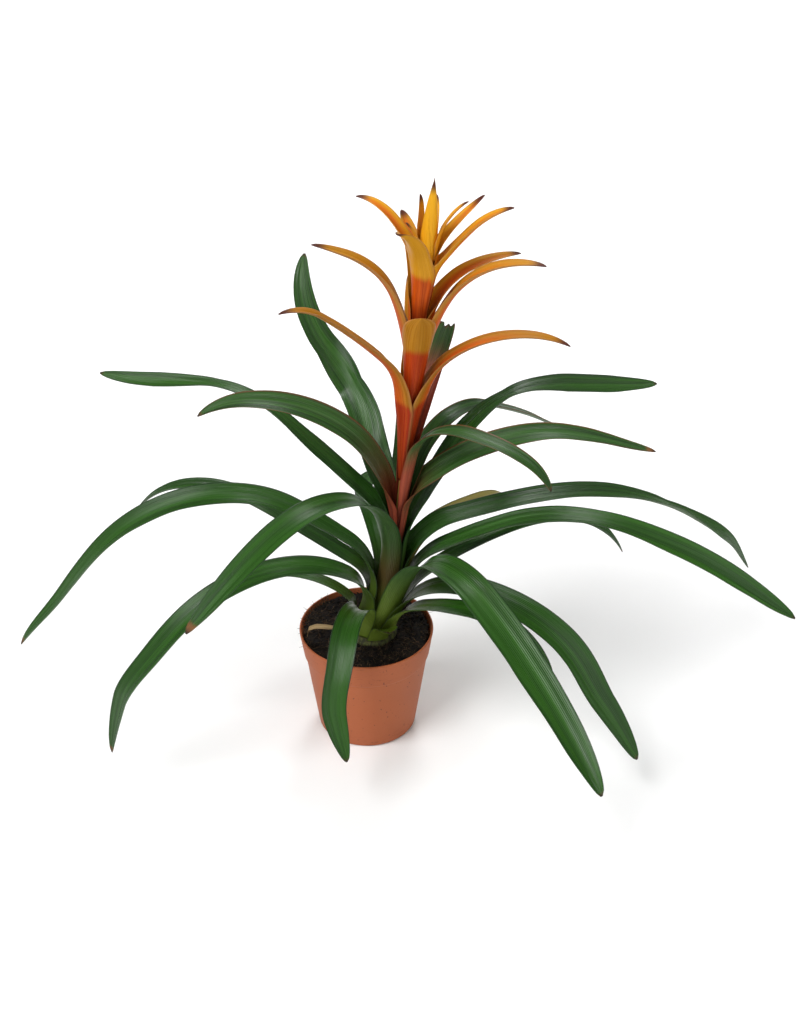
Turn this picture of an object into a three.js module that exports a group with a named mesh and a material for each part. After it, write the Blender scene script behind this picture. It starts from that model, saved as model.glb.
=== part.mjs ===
// A flowering bromeliad in a round plastic nursery pot.
// Millimetres, +Z up, origin on the floor under the middle of the pot.
//
// Everything above the potting mix is first laid out around an upright axis and
// then leaned over as one plant by leanOver(), so pieces that clear each other
// upright still clear each other once the plant leans.

import * as THREE from 'three';
import { mergeVertices } from 'three/addons/utils/BufferGeometryUtils.js';

// ---------------------------------------------------------------- pot and soil
const POT_TOP_RADIUS = 60;
const POT_BASE_RADIUS = 44;
const POT_HEIGHT = 103;
const POT_WALL = 1.8;
const POT_FLOOR = 2.5;
const COLLAR_HEIGHT = 24;
const COLLAR_STEP = 1.4;
const LIP_ROUND = 1.2;
const SOIL_BELOW_RIM = 7;
const SOIL_MOUND = 2.5;
const POT_SIDES = 48;

// ------------------------------------------------------------------- the plant
const SEAT_GAP = 0.3;
const ROOTSTOCK_DEPTH = 24;
const ROOTSTOCK_TIP_RADIUS = 7;
const ROOTSTOCK_RISE = 23;
const STEM_RADIUS = 3.2;
const STEM_TOP_RADIUS = 2.4;
const STEM_HEIGHT = 336;
const BUD_LENGTH = 98;
const BUD_RADIUS = 7.8;
const BUD_POINT = 0.3;

const BLADE_THICK = 0.8;
const SHEATH_GAP = 0.35;
const TIP_SHARE = 0.06;
const LEAF_BLUNTNESS = 7;
const BRACT_BLUNTNESS = 4;
const LEAF_CHANNEL = 0.55;
const BRACT_CHANNEL = 0.8;
const CLASP_LIMIT = 1.35;
const SHEATH_LEVEL = 16;
const LEAF_STEPS = 13;
const BRACT_STEPS = 9;
const STRIDES = 6;

// The whole plant leans to +X: a short bend at the foot, then a steady slope.
const FOOT_OFFSET = 5;
const STEADY_LEAN = 0.09;
const FOOT_BEND = 12.5;
const FOOT_BEND_HEIGHT = 38;

// Rosette leaves, from the outermost to the innermost. turn is the compass angle
// in degrees (0 = +X, 90 = +Y), sheath the upright clasping stretch, climb the
// slope in degrees at even steps along the rest, swing the change of turn, and roll
// the tilt of the upper face towards the blade's left.
const ROSETTE = [
  { turn: -78, length: 30, width: 20, sheath: 6, climb: [55, 20, 5], tip: 0.55 },
  { turn: -45, length: 212, width: 25, sheath: 8, climb: [32, 22, 14, -8, -30, -45] },
  { turn: 168, length: 128, width: 14, sheath: 8, climb: [35, 20, 8, -12, -45] },
  { turn: 222, length: 198, width: 25, sheath: 8, climb: [38, -5, -38, -55, -55, -55], swing: [0, 48, 82] },
  {
    turn: -27, length: 322, width: 31, sheath: 14,
    climb: [28, -2, -18, -32, -44, -54, -56],
    roll: [0, 0, -5, -10, -15, -20, -20],
  },
  {
    turn: 202, length: 370, width: 28, sheath: 18,
    climb: [38, 15, -10, -36, -62, -72, -80],
    roll: [0, 5, 5, 5, 10, 10, 10],
  },
  { turn: 3, length: 256, width: 21, sheath: 20, climb: [42, 30, 24, 2, -34, -60] },
  { turn: 160, length: 304, width: 21, sheath: 28, climb: [24, 24, 24, 14, -8, -34, -64] },
  { turn: -57, length: 370, width: 34, sheath: 24, climb: [56, 10, -15, -21, -25, -25, -22] },
  {
    turn: 182, length: 452, width: 26, sheath: 35,
    climb: [38, 32, 2, -25, -50, -62, -65],
    roll: [0, 0, 10, 15, 15, 15, 15],
  },
  { turn: 116, length: 175, width: 19, sheath: 34, climb: [52, 30, 4, -8, -12], swing: [0, -5, -65] },
  {
    turn: -13, length: 425, width: 27, sheath: 36,
    climb: [34, 28, 5, -15, -22, -30, -30],
    roll: [0, 0, 0, 5, -10, -20, -25],
  },
  { turn: 50, length: 208, width: 20, sheath: 42, climb: [20, -4, -12, -12, -24] },
  {
    turn: 15, length: 472, width: 27, sheath: 54,
    climb: [8, 4, -8, -22, -34, -37, -54],
    roll: [0, 0, 0, 0, 15, -15, -25],
  },
  { turn: 224, length: 354, width: 30, sheath: 66, climb: [60, 28, 4, -20, -30, -32] },
  { turn: 86, length: 330, width: 22, sheath: 52, climb: [60, 35, 10, -10, -25, -38] },
  {
    turn: 161, length: 400, width: 24, sheath: 78,
    climb: [38, 36, 38, 20, -8, -5, 5],
    roll: [0, 0, 0, -15, -15, 20, 30],
  },
  {
    turn: 25, length: 386, width: 26, sheath: 70,
    climb: [60, 60, 35, -5, -15, -14, -10],
    roll: [0, 0, 0, 20, -15, -25, -25],
  },
  {
    turn: 140, length: 354, width: 28, sheath: 90,
    climb: [46, 34, 32, 36, 46, 50, 52],
    swing: [0, -38, 12, -64],
    roll: [0, 0, 0, 24, 64, 34, 8, 0, 0],
  },
];

// Leaves on the flower stem, lowest first; foot is the height above the soil.
const STEM_LEAVES = [
  {
    foot: 74, turn: 185, length: 285, width: 27, sheath: 42,
    climb: [72, 55, 35, 20, 2, -35],
    roll: [0, 24, 26, 22, 12, 5],
  },
  {
    foot: 87, turn: 0, length: 283, width: 24, sheath: 46,
    climb: [42, 27, 12, -8, -16, -12],
    roll: [0, -24, -22, -10, 0, 0],
  },
  { foot: 94, turn: 44, length: 320, width: 20, sheath: 37, climb: [64, 5, -28, -31, -35, -40] },
  { foot: 109, turn: -34, length: 232, width: 20, sheath: 52, climb: [82, 32, 2, -6, -20, -55] },
  { foot: 124, turn: 66, length: 175, width: 24, sheath: 58, climb: [60, 44, 42], tip: 0.62 },
];

// Bracts of the flower head, lowest first.
const BRACTS = [
  { foot: 163, turn: 205, length: 242, width: 30, sheath: 50, climb: [80, 46, 42, 38, -4] },
  { foot: 178, turn: -8, length: 208, width: 29, sheath: 42, climb: [78, 42, 20, 0, -24] },
  { foot: 200, turn: 95, length: 150, width: 27, sheath: 40, climb: [70, 50, 30, 12] },
  { foot: 218, turn: 268, length: 112, width: 34, sheath: 62, climb: [76, 58], bladeShare: 1, blunt: 9 },
  { foot: 225, turn: 185, length: 198, width: 32, sheath: 56, climb: [75, 65, 42, 24, 18] },
  { foot: 239, turn: -16, length: 184, width: 31, sheath: 38, climb: [76, 64, 40, 15, -5] },
  { foot: 266, turn: 18, length: 142, width: 29, sheath: 32, climb: [76, 50, 22, 8, -2] },
  { foot: 281, turn: 110, length: 124, width: 27, sheath: 34, climb: [70, 55, 38, 22] },
  { foot: 308, turn: 240, length: 122, width: 33, sheath: 36, climb: [74, 52, 38, 26] },
  { foot: 323, turn: -12, length: 115, width: 27, sheath: 26, climb: [60, 55, 50, 35, 20] },
  { foot: 332, turn: 158, length: 105, width: 24, sheath: 22, climb: [64, 54, 44, 26, 0] },
  { foot: 341, turn: 82, length: 76, width: 20, sheath: 22, climb: [64, 48, 36, 26] },
  { foot: 349, turn: 24, length: 78, width: 18, sheath: 18, climb: [54, 44, 40, 42] },
  { foot: 357, turn: 196, length: 46, width: 16, sheath: 18, climb: [74, 60, 44] },
  { foot: 367, turn: -10, length: 56, width: 14, sheath: 18, climb: [68, 60, 50, 36] },
  { foot: 376, turn: 140, length: 42, width: 13, sheath: 22, climb: [86, 84, 80] },
];
const BRACT_OPENING = 84;
const STEM_LEAF_OPENING = 86;
const BRACT_FOOT_SHARE = 0.6;
const BRACT_BLADE_SHARE = 0.7;

// A withered strip of leaf that lies on the soil, from near the wall towards the plant.
const STRIP = { turn: -10, length: 34, width: 8, sheath: 0, climb: [3, 3] };
const STRIP_FROM_TURN = 187;
const STRIP_FROM_WALL = 4;

// ------------------------------------------------------------------- materials
const COLOURS = {
  pot: ['#a55d3c', 0.62],
  mix: ['#2a211c', 0.95],
  rootstock: ['#6f5a3c', 0.8],
  stem: ['#7d8a3a', 0.55],
  leaf: ['#35603a', 0.42],
  stemLeaf: ['#8a4a34', 0.45],
  bract: ['#d7802c', 0.42],
  bud: ['#e8ab2c', 0.42],
  dry: ['#c9a56a', 0.85],
};

// -------------------------------------------------------------- worked-out sizes
const SOIL_HEIGHT = POT_HEIGHT - SOIL_BELOW_RIM;
const MOUND_HEIGHT = SOIL_HEIGHT + SOIL_MOUND;
const RING_STEP = BLADE_THICK + SHEATH_GAP;
const INNER_RING = ROOTSTOCK_TIP_RADIUS + RING_STEP;
const STEM_FOOT = MOUND_HEIGHT + ROOTSTOCK_RISE + SEAT_GAP;
const STEM_TOP = SOIL_HEIGHT + STEM_HEIGHT;
const BUD_FOOT = STEM_TOP + SEAT_GAP;
const root = new THREE.Group();
const radians = THREE.MathUtils.degToRad;
const { lerp, smoothstep, clamp } = THREE.MathUtils;

// ------------------------------------------------------------------ small tools
function leanAt(z) {
  const h = Math.max(z - SOIL_HEIGHT, 0);
  const bend = 1 - Math.exp(-((h / FOOT_BEND_HEIGHT) ** 2));
  return FOOT_OFFSET + STEADY_LEAN * h + FOOT_BEND * bend;
}

function leanOver(geometry) {
  const place = geometry.attributes.position;
  for (let i = 0; i < place.count; i += 1) {
    place.setX(i, place.getX(i) + leanAt(place.getZ(i)));
  }
  return geometry;
}

function add(name, geometry, look) {
  const [color, roughness] = COLOURS[look];
  const material = new THREE.MeshStandardMaterial({ color, roughness, metalness: 0 });
  const mesh = new THREE.Mesh(geometry, material);
  mesh.name = name;
  root.add(mesh);
  return mesh;
}

// A solid of revolution about +Z from [radius, height] pairs that run up the outside.
function turned(profile, sides) {
  const points = profile.map(([radius, height]) => new THREE.Vector2(radius, height));
  const lathe = new THREE.LatheGeometry(points, sides);
  lathe.rotateX(Math.PI / 2);
  lathe.deleteAttribute('normal');
  lathe.deleteAttribute('uv');
  return mergeVertices(lathe, 1e-4);
}

// The value at share t (0 to 1) of a list of evenly spaced values.
function along(values, t) {
  const place = clamp(t, 0, 1) * (values.length - 1);
  const before = Math.min(Math.floor(place), values.length - 1);
  const after = Math.min(before + 1, values.length - 1);
  return lerp(values[before], values[after], place - before);
}

// ---------------------------------------------------------------------- blades
// Width along a blade as a share of its full width: it may start narrow at the
// foot, narrows to its blade past the sheath and then runs out to the tip, the later
// and the blunter the larger its bluntness.
function widthShare(t, footShare, bladeShare, tipShare, blunt) {
  const foot = lerp(footShare, 1, smoothstep(t, 0, 0.3));
  const blade = lerp(1, bladeShare, smoothstep(t, 0.25, 0.6));
  const taper = (1 - t ** blunt) ** 0.65;
  return foot * blade * lerp(tipShare, 1, taper);
}

// Points across a blade, from one margin to the other, as shares of half its width.
const ACROSS = [-1, -0.68, -0.34, 0, 0.34, 0.68, 1];
const LOOP = 2 * (ACROSS.length - 1);

// Directions at a distance along a blade: ahead, across, and towards its upper face.
function frameAt(leaf, distance) {
  const { turn, length, sheath, opening = 90, climb, swing = [0], roll = [0] } = leaf;
  const t = clamp((distance - sheath) / (length - sheath), 0, 1);
  const slope = radians(along([opening, ...climb], t));
  const ahead = new THREE.Vector3(Math.cos(slope), 0, Math.sin(slope));
  const side = new THREE.Vector3(0, 1, 0);
  const upper = new THREE.Vector3(-Math.sin(slope), 0, Math.cos(slope));
  const up = new THREE.Vector3(0, 0, 1);
  const heading = radians(turn + along(swing, t));
  [ahead, side, upper].forEach((arrow) => arrow.applyAxisAngle(up, heading));
  const tilt = radians(along(roll, t));
  [side, upper].forEach((arrow) => arrow.applyAxisAngle(ahead, -tilt));
  return { ahead, side, upper };
}

// One loop of points around a blade: along its upper face and back along the lower.
function bladeRing(centre, frame, half, curl, thick) {
  const bend = half / curl;
  const upperFace = [];
  const lowerFace = [];
  ACROSS.forEach((share) => {
    const angle = share * curl;
    const inward = frame.upper.clone().multiplyScalar(Math.cos(angle));
    inward.addScaledVector(frame.side, -Math.sin(angle));
    const middle = centre.clone().addScaledVector(frame.side, bend * Math.sin(angle));
    middle.addScaledVector(frame.upper, bend * (1 - Math.cos(angle)));
    const skin = (thick / 2) * Math.sqrt(1 - share * share);
    upperFace.push(middle.clone().addScaledVector(inward, skin));
    lowerFace.push(middle.clone().addScaledVector(inward, -skin));
  });
  return [...upperFace, ...lowerFace.slice(1, -1).reverse()];
}

// Distances along a blade at which its loops of points lie. In the sheath they lie at
// heights that every sheath shares, so that nested sheaths bend with the lean alike.
function stationsOf({ start, length, sheath, steps }) {
  const stations = [0];
  const firstLevel = Math.ceil(start.z / SHEATH_LEVEL) * SHEATH_LEVEL;
  for (let z = firstLevel; z < start.z + sheath; z += SHEATH_LEVEL) {
    if (z - start.z > SHEATH_LEVEL / 4) stations.push(z - start.z);
  }
  if (sheath - stations.at(-1) < SHEATH_LEVEL / 4 && stations.length > 1) stations.pop();
  const blade = length - sheath;
  for (let step = sheath > 0 ? 0 : 1; step <= steps; step += 1) {
    stations.push(sheath + (blade * step) / steps);
  }
  return stations;
}

// One leaf or bract: a thin closed channel that clasps the upright axis with its
// sheath, then arches away from it and flattens. Its two faces meet in the margins.
function bladeGeometry(leaf) {
  const { start, length, width, sheath, channel } = leaf;
  const { footShare = 1, bladeShare = 1, tip = TIP_SHARE, blunt = LEAF_BLUNTNESS } = leaf;
  const centre = start.clone();
  const points = [];
  const stations = stationsOf(leaf);
  stations.forEach((distance, index) => {
    const before = stations[Math.max(index - 1, 0)];
    const stride = (distance - before) / STRIDES;
    for (let i = 0; i < STRIDES; i += 1) {
      centre.addScaledVector(frameAt(leaf, before + (i + 0.5) * stride).ahead, stride);
    }
    const t = distance / length;
    const reach = Math.hypot(centre.x, centre.y);
    const wanted = (width / 2) * widthShare(t, footShare, bladeShare, tip, blunt);
    const half = Math.min(wanted, CLASP_LIMIT * reach);
    const opened = channel * smoothstep(distance, 0, sheath + reach);
    const curl = Math.max(half / reach, opened);
    const thick = BLADE_THICK * lerp(1, 0.45, t * t);
    points.push(...bladeRing(centre, frameAt(leaf, distance), half, curl, thick));
  });
  return closedBlade(points, stations.length - 1);
}

// Joins the loops of a blade into one closed solid. The lower face is split along the
// same diagonals as the upper, so that the two stay apart where the blade twists.
function closedBlade(points, steps) {
  const faces = [];
  for (let step = 0; step < steps; step += 1) {
    for (let k = 0; k < LOOP; k += 1) {
      const a = step * LOOP + k;
      const b = step * LOOP + ((k + 1) % LOOP);
      if (k < LOOP / 2) faces.push(a, b + LOOP, b, a, a + LOOP, b + LOOP);
      else faces.push(a, a + LOOP, b, b, a + LOOP, b + LOOP);
    }
  }
  closeEnd(faces, 0, true);
  closeEnd(faces, steps * LOOP, false);
  const geometry = new THREE.BufferGeometry();
  const flat = points.flatMap((p) => [p.x, p.y, p.z]);
  geometry.setAttribute('position', new THREE.Float32BufferAttribute(flat, 3));
  geometry.setIndex(faces);
  return geometry;
}

// Fills the thin crescent at one end of a blade, from margin to margin.
function closeEnd(faces, first, footEnd) {
  const push = (a, b, c) => (footEnd ? faces.push(a, b, c) : faces.push(a, c, b));
  const half = LOOP / 2;
  for (let k = 0; k < half; k += 1) {
    const upper = first + k;
    const lower = first + ((LOOP - k) % LOOP);
    const lowerNext = first + LOOP - k - 1;
    if (k > 0) push(upper, upper + 1, lower);
    if (k < half - 1) push(upper + 1, lowerNext, lower);
  }
}

// ------------------------------------------------------------------------- pot
const WALL_SLOPE = (POT_TOP_RADIUS - POT_BASE_RADIUS) / POT_HEIGHT;
const COLLAR_FOOT = POT_HEIGHT - COLLAR_HEIGHT;
const NECK_HEIGHT = COLLAR_FOOT - COLLAR_STEP;
const NECK_RADIUS = POT_BASE_RADIUS + WALL_SLOPE * COLLAR_FOOT - COLLAR_STEP;

// Radius inside the pot at a height: a straight taper below the neck, a collar above.
function insideRadius(height) {
  if (height >= COLLAR_FOOT) return POT_BASE_RADIUS + WALL_SLOPE * height - POT_WALL;
  const share = (height - POT_FLOOR) / (NECK_HEIGHT - POT_FLOOR);
  return lerp(POT_BASE_RADIUS, NECK_RADIUS, share) - POT_WALL;
}

function potGeometry() {
  return turned([
    [0, 0],
    [POT_BASE_RADIUS - LIP_ROUND, 0],
    [POT_BASE_RADIUS, LIP_ROUND],
    [NECK_RADIUS, NECK_HEIGHT],
    [insideRadius(COLLAR_FOOT) + POT_WALL, COLLAR_FOOT],
    [POT_TOP_RADIUS, POT_HEIGHT - LIP_ROUND],
    [POT_TOP_RADIUS - LIP_ROUND / 2, POT_HEIGHT],
    [POT_TOP_RADIUS - POT_WALL, POT_HEIGHT],
    [insideRadius(COLLAR_FOOT), COLLAR_FOOT],
    [insideRadius(NECK_HEIGHT), NECK_HEIGHT],
    [insideRadius(POT_FLOOR), POT_FLOOR],
    [0, POT_FLOOR],
  ], POT_SIDES);
}

// ------------------------------------------------------ rings of clasping leaves
// Works from the innermost leaf outwards. Each one stands as close to the axis as it
// can while its sheath clears every inner sheath that it would meet going round.
function nested(leaves, seatRadius) {
  const placed = [];
  [...leaves].reverse().forEach((leaf) => {
    const spread = Math.tan(radians(90 - (leaf.opening ?? 90)));
    let radius = seatRadius(leaf.foot ?? 0);
    placed.forEach((inner) => {
      const rise = (inner.foot ?? 0) - (leaf.foot ?? 0);
      const clear = inner.radius + RING_STEP - spread * rise;
      const apart = Math.abs(((leaf.turn - inner.turn + 900) % 360) - 180);
      const ownReach = Math.min(leaf.width / 2 / clear, CLASP_LIMIT);
      const innerReach = Math.min(inner.width / 2 / inner.radius, CLASP_LIMIT);
      if (radians(apart) < ownReach + innerReach + 0.1) radius = Math.max(radius, clear);
    });
    placed.push({ ...leaf, radius });
  });
  return placed.reverse();
}

function startOf(turn, radius, height) {
  const start = new THREE.Vector3(radius, 0, height);
  return start.applyAxisAngle(new THREE.Vector3(0, 0, 1), radians(turn));
}

function addBlades(prefix, leaves, shape, look) {
  leaves.forEach((leaf, index) => {
    const start = startOf(leaf.turn, leaf.radius, leaf.height);
    const number = String(index + 1).padStart(2, '0');
    const geometry = bladeGeometry({ ...shape, ...leaf, start });
    add(`${prefix}_${number}`, leanOver(geometry), look);
  });
}

// ---------------------------------------------------------------- pot and rootstock
const rosette = nested(ROSETTE, () => INNER_RING);
const crownRadius = Math.max(...rosette.map((leaf) => leaf.radius)) + RING_STEP;
const hollowFoot = MOUND_HEIGHT - ROOTSTOCK_DEPTH;

// The rootstock is a blunt cone above the soil; each leaf stands on its slope.
function rootstockHeight(radius) {
  const inside = radius - BLADE_THICK / 2 - 3 * SEAT_GAP;
  const share = (inside - ROOTSTOCK_TIP_RADIUS) / (crownRadius - ROOTSTOCK_TIP_RADIUS);
  return MOUND_HEIGHT + ROOTSTOCK_RISE * (1 - share);
}

function rootstockGeometry() {
  const foot = hollowFoot + SEAT_GAP;
  return turned([
    [0, foot],
    [crownRadius * 0.7, foot],
    [crownRadius, lerp(foot, MOUND_HEIGHT, 0.4)],
    [crownRadius, MOUND_HEIGHT],
    [ROOTSTOCK_TIP_RADIUS, MOUND_HEIGHT + ROOTSTOCK_RISE],
    [0, MOUND_HEIGHT + ROOTSTOCK_RISE],
  ], 32);
}

// The potting mix fills the pot and has a pit for the rootstock, which stands a
// little to one side, so the pit's points move over by the same amount.
function mixGeometry() {
  const foot = POT_FLOOR + SEAT_GAP;
  const pit = crownRadius + 2 * SEAT_GAP;
  const mix = turned([
    [0, foot],
    [insideRadius(foot) - SEAT_GAP, foot],
    [insideRadius(NECK_HEIGHT) - SEAT_GAP, NECK_HEIGHT],
    [insideRadius(COLLAR_FOOT) - SEAT_GAP, COLLAR_FOOT],
    [insideRadius(SOIL_HEIGHT) - SEAT_GAP, SOIL_HEIGHT],
    [lerp(insideRadius(SOIL_HEIGHT), pit, 0.4), SOIL_HEIGHT + SOIL_MOUND * 0.7],
    [pit, MOUND_HEIGHT],
    [pit, hollowFoot],
    [0, hollowFoot],
  ], POT_SIDES);
  const place = mix.attributes.position;
  for (let i = 0; i < place.count; i += 1) {
    const inPit = Math.hypot(place.getX(i), place.getY(i)) < pit + SEAT_GAP;
    if (inPit && place.getZ(i) > foot + SEAT_GAP) place.setX(i, place.getX(i) + FOOT_OFFSET);
  }
  return mix;
}

add('pot', potGeometry(), 'pot');
add('potting_mix', mixGeometry(), 'mix');
add('rootstock', leanOver(rootstockGeometry()), 'rootstock');

// ------------------------------------------------------------- flower stem and bud
function axisRadius(height) {
  if (height >= BUD_FOOT) return budRadius((height - BUD_FOOT) / BUD_LENGTH);
  return lerp(STEM_RADIUS, STEM_TOP_RADIUS, (height - STEM_FOOT) / (STEM_TOP - STEM_FOOT));
}

// The closed bud: narrow at its foot, fullest below the middle, pointed at the top.
function budRadius(share) {
  const t = clamp(share, 0, 1);
  const swell = lerp(STEM_TOP_RADIUS, BUD_RADIUS, smoothstep(t, 0, 0.45));
  return Math.max(swell * (1 - t ** 3), BUD_POINT);
}

// A round upright piece whose radius follows radiusAt() between two heights.
function spindle(from, to, rings, radiusAt) {
  const profile = [[0, from]];
  for (let i = 0; i <= rings; i += 1) {
    const height = lerp(from, to, i / rings);
    profile.push([radiusAt(height), height]);
  }
  profile.push([0, to]);
  return turned(profile, 12);
}

// ------------------------------------------------------------- everything above soil
add('flower_stem', leanOver(spindle(STEM_FOOT, STEM_TOP, 18, axisRadius)), 'stem');
add('bud', leanOver(spindle(BUD_FOOT, BUD_FOOT + BUD_LENGTH, 10, axisRadius)), 'bud');

const leafShape = { channel: LEAF_CHANNEL, steps: LEAF_STEPS };
const onRootstock = (leaf) => ({ ...leaf, height: rootstockHeight(leaf.radius) });
addBlades('leaf', rosette.map(onRootstock), leafShape, 'leaf');

const bractShares = { footShare: BRACT_FOOT_SHARE, bladeShare: BRACT_BLADE_SHARE };
const bractShape = {
  channel: BRACT_CHANNEL, steps: BRACT_STEPS, blunt: BRACT_BLUNTNESS, ...bractShares,
};
const withOpening = (opening) => (leaf) => ({ opening, ...leaf });
const onStem = nested(
  [...STEM_LEAVES.map(withOpening(STEM_LEAF_OPENING)), ...BRACTS.map(withOpening(BRACT_OPENING))],
  (foot) => axisRadius(SOIL_HEIGHT + foot) + SEAT_GAP + BLADE_THICK / 2,
).map((leaf) => ({ ...leaf, height: SOIL_HEIGHT + leaf.foot }));
addBlades('stem_leaf', onStem.slice(0, STEM_LEAVES.length), leafShape, 'stemLeaf');
addBlades('bract', onStem.slice(STEM_LEAVES.length), bractShape, 'bract');

const stripHeight = SOIL_HEIGHT + BLADE_THICK / 2 + 2 * SEAT_GAP;
const stripRadius = insideRadius(SOIL_HEIGHT) - STRIP_FROM_WALL;
const stripStart = startOf(STRIP_FROM_TURN, stripRadius, stripHeight);
const stripShape = { channel: BRACT_CHANNEL, steps: BRACT_STEPS };
const strip = bladeGeometry({ ...STRIP, ...stripShape, start: stripStart });
add('withered_strip', strip, 'dry');

export default root;
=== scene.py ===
# %% [markdown]
# # A flowering bromeliad in its nursery pot
#
# The plant is a rosette of strap leaves round a short rootstock. A flower stem rises
# from its middle and carries a few red-footed leaves and then the bracts, the
# coloured leaves that everyone takes for the flower. The whole plant leans a little
# to the right. The lesson builds the look of the plant around a model whose sizes
# are already right: each piece lies where its plain solid lies.

# %% Open the frame
import math
import random

import bpy
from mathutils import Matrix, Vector, noise


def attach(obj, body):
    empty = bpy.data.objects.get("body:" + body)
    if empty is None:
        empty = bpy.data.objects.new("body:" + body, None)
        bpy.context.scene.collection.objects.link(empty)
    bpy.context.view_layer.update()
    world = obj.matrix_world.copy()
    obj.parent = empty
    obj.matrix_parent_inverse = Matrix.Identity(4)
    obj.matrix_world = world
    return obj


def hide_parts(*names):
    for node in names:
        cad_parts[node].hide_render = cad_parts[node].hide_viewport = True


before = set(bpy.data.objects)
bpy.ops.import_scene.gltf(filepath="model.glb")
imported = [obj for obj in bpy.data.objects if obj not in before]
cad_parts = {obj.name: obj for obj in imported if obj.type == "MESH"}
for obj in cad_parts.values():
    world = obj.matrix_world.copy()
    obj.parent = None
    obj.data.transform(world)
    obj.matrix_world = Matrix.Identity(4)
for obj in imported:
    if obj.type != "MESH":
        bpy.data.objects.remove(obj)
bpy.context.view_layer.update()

MM = 0.001
print("nodes in the frame:", len(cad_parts))

# %% [markdown]
# ## Small helpers
#
# Operators act on whatever is selected, and the frame arrives selected, so every
# step starts by clearing the selection. A finished piece gets its materials, is
# attached to the body that it moves with, and has the plain solids that it stands
# for hidden.

# %% Selecting, finishing and reporting
def pick(piece):
    """Makes one object the only selected and the active one."""
    bpy.ops.object.select_all(action="DESELECT")
    piece.select_set(True)
    bpy.context.view_layer.objects.active = piece


def apply_all(piece):
    """Applies every modifier of a piece, from the top down."""
    pick(piece)
    for modifier in list(piece.modifiers):
        bpy.ops.object.modifier_apply(modifier=modifier.name)


def edit_all(*operations):
    """Runs mesh operators on every point of the active piece."""
    bpy.ops.object.mode_set(mode="EDIT")
    bpy.ops.mesh.select_all(action="SELECT")
    for operation in operations:
        operation()
    bpy.ops.object.mode_set(mode="OBJECT")


def link_piece(name, mesh):
    """Puts a mesh in the scene as a new object."""
    piece = bpy.data.objects.new(name, mesh)
    bpy.context.collection.objects.link(piece)
    return piece


def mesh_piece(name, points, faces):
    """A new object made of points and faces."""
    mesh = bpy.data.meshes.new(name)
    mesh.from_pydata(points, [], faces)
    mesh.update()
    return link_piece(name, mesh)


def paint(piece, *materials):
    """Gives a piece its materials, in the order of its slots."""
    piece.data.materials.clear()
    for material in materials:
        piece.data.materials.append(material)


def settle(piece, nodes):
    """Attaches a finished piece to its body and hides the nodes that it stands for."""
    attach(piece, "root")
    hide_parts(*nodes)


def smooth(value, low, high):
    """0 below low, 1 above high, and an even S between them."""
    t = min(max((value - low) / ((high - low) or 1e-9), 0.0), 1.0)
    return t * t * (3.0 - 2.0 * t)


def lerp(a, b, t):
    """The value at share t of the way from a to b."""
    return a + (b - a) * t


bpy.ops.object.select_all(action="DESELECT")
print("helpers ready")

# %% [markdown]
# ## Camera, floor and light
#
# The plant is looked down on from a little above its flower, with a long lens, so
# the leaves keep their proportions. A pale floor runs far out in every direction.
# The surround looks pure white but gives only a weak, even light, so that the leaves
# keep their depth. A broad soft sun from the upper left in front draws the sheen along
# them, a weaker one comes from the right, and a soft lamp above and behind lights the
# edges.

# %% Camera
CAMERA_PLACE = Vector((0.0, -1.28, 1.08))
CAMERA_AIM = Vector((0.030, 0.0, 0.225))
LENS_MM = 63.3


def facing(place, aim):
    """The turn that points a camera or a light from a place at a point."""
    return (Vector(aim) - Vector(place)).to_track_quat("-Z", "Y").to_euler()


bpy.ops.object.camera_add(location=CAMERA_PLACE)
camera = bpy.context.object
camera.name = "camera"
camera.rotation_euler = facing(CAMERA_PLACE, CAMERA_AIM)
camera.data.lens = LENS_MM
camera.data.sensor_width = 36.0
camera.data.clip_end = 50.0
bpy.context.scene.camera = camera
print("camera distance", round((CAMERA_AIM - CAMERA_PLACE).length, 3))

# %% Floor and lamps
bpy.ops.mesh.primitive_plane_add(size=30.0, location=(0.0, 0.0, -0.0005))
floor = bpy.context.object
floor.name = "floor"


def light(kind, name, place, aim, strength):
    """A light at a place, turned towards a point; hands back its settings."""
    bpy.ops.object.light_add(type=kind, location=place)
    made = bpy.context.object
    made.name = name
    made.rotation_euler = facing(place, aim)
    made.data.energy = strength
    return made.data


SUN_AIM = (0.0, 0.0, 0.25)
light("SUN", "key_sun", (-1.3, -1.0, 2.2), SUN_AIM, 3.1).angle = math.radians(34.0)
light("SUN", "fill_sun", (1.6, -1.2, 1.6), SUN_AIM, 1.1).angle = math.radians(60.0)
light("AREA", "top_lamp", (0.3, 1.5, 1.9), (0.0, 0.0, 0.3), 20.0).size = 0.6

# %% Surround
# The camera sees the surround at full strength; every other ray sees the weak one.
WORLD_STRENGTH = 0.24
world = bpy.data.worlds.new("white_studio")
world.use_nodes = True
tree = world.node_tree
background = tree.nodes["Background"]
background.inputs["Color"].default_value = (1.0, 1.0, 1.0, 1.0)
rays = tree.nodes.new("ShaderNodeLightPath")
seen = tree.nodes.new("ShaderNodeMath")
seen.operation = "MAXIMUM"
seen.inputs[1].default_value = WORLD_STRENGTH
tree.links.new(rays.outputs["Is Camera Ray"], seen.inputs[0])
tree.links.new(seen.outputs[0], background.inputs["Strength"])
bpy.context.scene.world = world
bpy.context.scene.view_settings.view_transform = "Standard"
print("stage ready")

# %% [markdown]
# ## A short way to write node trees
#
# Every material here is procedural: it is worked out from numbers that each piece
# carries, never from a picture. The class below only saves typing. It adds a node,
# joins sockets or numbers to its inputs, and hands back the output.

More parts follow.
